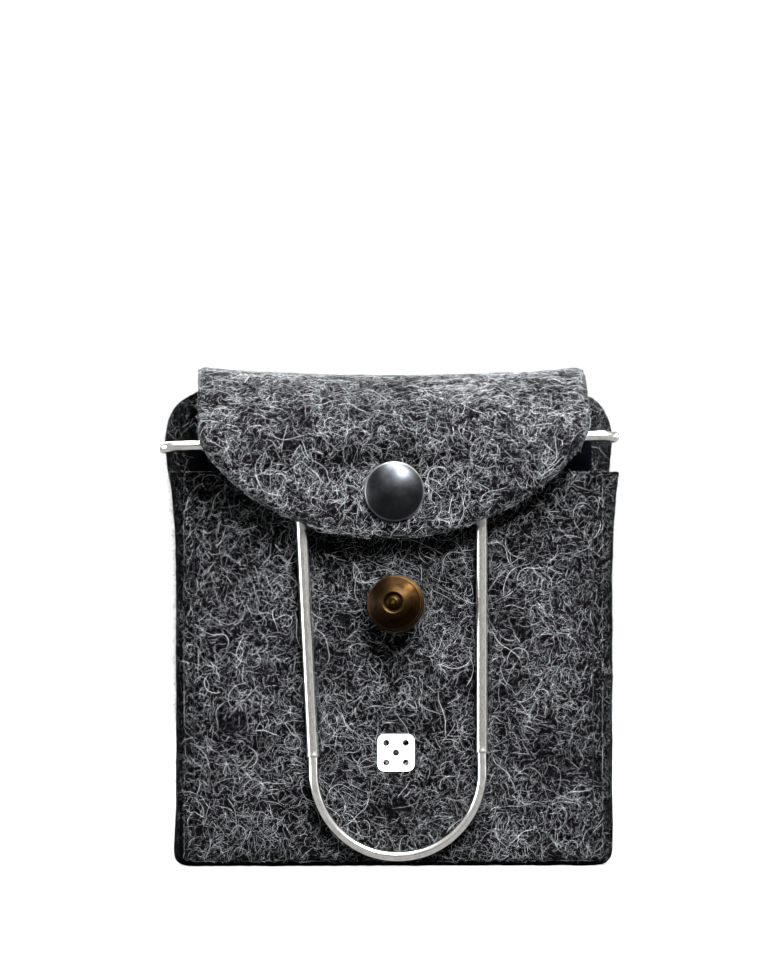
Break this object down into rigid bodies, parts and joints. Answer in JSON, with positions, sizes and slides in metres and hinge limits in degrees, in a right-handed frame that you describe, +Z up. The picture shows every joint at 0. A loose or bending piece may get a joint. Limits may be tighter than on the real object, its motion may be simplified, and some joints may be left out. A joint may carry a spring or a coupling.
{
  "type": "miniature carry case",
  "caption": "Upright felt carry case with a rounded snap flap, a swinging wire bail, a turned brass knob and a stiff open-topped inner box.",
  "frame": {"origin": "centre of the flat underside of the base, on the surface the case stands on", "axes": "+X to the right seen from the flap side, +Y to the back, +Z up"},
  "size_m": [0.1161, 0.05, 0.1257],
  "materials": {
    "felt": "thick charcoal wool felt, mottled with pale grey curling fibres and a fuzzy surface",
    "liner": "smooth blue-black sheet with a faint sheen",
    "thread": "black twisted sewing thread",
    "snap_metal": "dark gunmetal plating, satin",
    "bail_steel": "bright drawn stainless wire with fine lengthwise lines",
    "fixing_steel": "plain bright steel",
    "knob_brass": "turned brass, aged brown-gold, with fine concentric tool marks",
    "print": "matt white heat-transfer print"
  },
  "bodies": {
    "case": {"gusset": "felt", "front_panel": "felt", "back_panel": "felt", "inner_box": "liner", "snap_stud": "snap_metal", "snap_stud_post": "snap_metal", "knob_spacer": "fixing_steel", "knob_nut": "fixing_steel", "rail_clip_left": "fixing_steel", "rail_clip_right": "fixing_steel", "clip_rivet_left": "fixing_steel", "clip_rivet_right": "fixing_steel", "seam_front_left": "thread", "seam_front_right": "thread", "seam_back_left": "thread", "seam_back_right": "thread", "emblem": "print"},
    "flap": {"flap": "felt", "snap_cap": "snap_metal", "snap_post": "snap_metal", "snap_socket": "snap_metal"},
    "bail": {"bail_wire": "bail_steel", "bail_sleeve_left": "bail_steel", "bail_sleeve_right": "bail_steel"},
    "knob": {"knob": "knob_brass", "knob_shank": "fixing_steel"}
  },
  "joints": [
    {"name": "flap_hinge", "type": "hinge", "parent": "case", "child": "flap", "pos_m": [0, 0.02015, 0.1196], "axis": [-1, 0, 0], "range_deg": [0, 180]},
    {"name": "bail_hinge", "type": "hinge", "parent": "case", "child": "bail", "pos_m": [-0.001, -0.02175, 0.1065], "axis": [-0.9997, 0, -0.0244], "range_deg": [0, 180]},
    {"name": "knob_turn", "type": "hinge", "parent": "case", "child": "knob", "pos_m": [0.00086, -0.02095, 0.0657], "axis": [-0.1711, -0.9806, 0.0961], "continuous": true}
  ],
  "couplings": [
    {"joint": "bail_hinge", "follows": "flap_hinge", "ratio": 1}
  ]
}
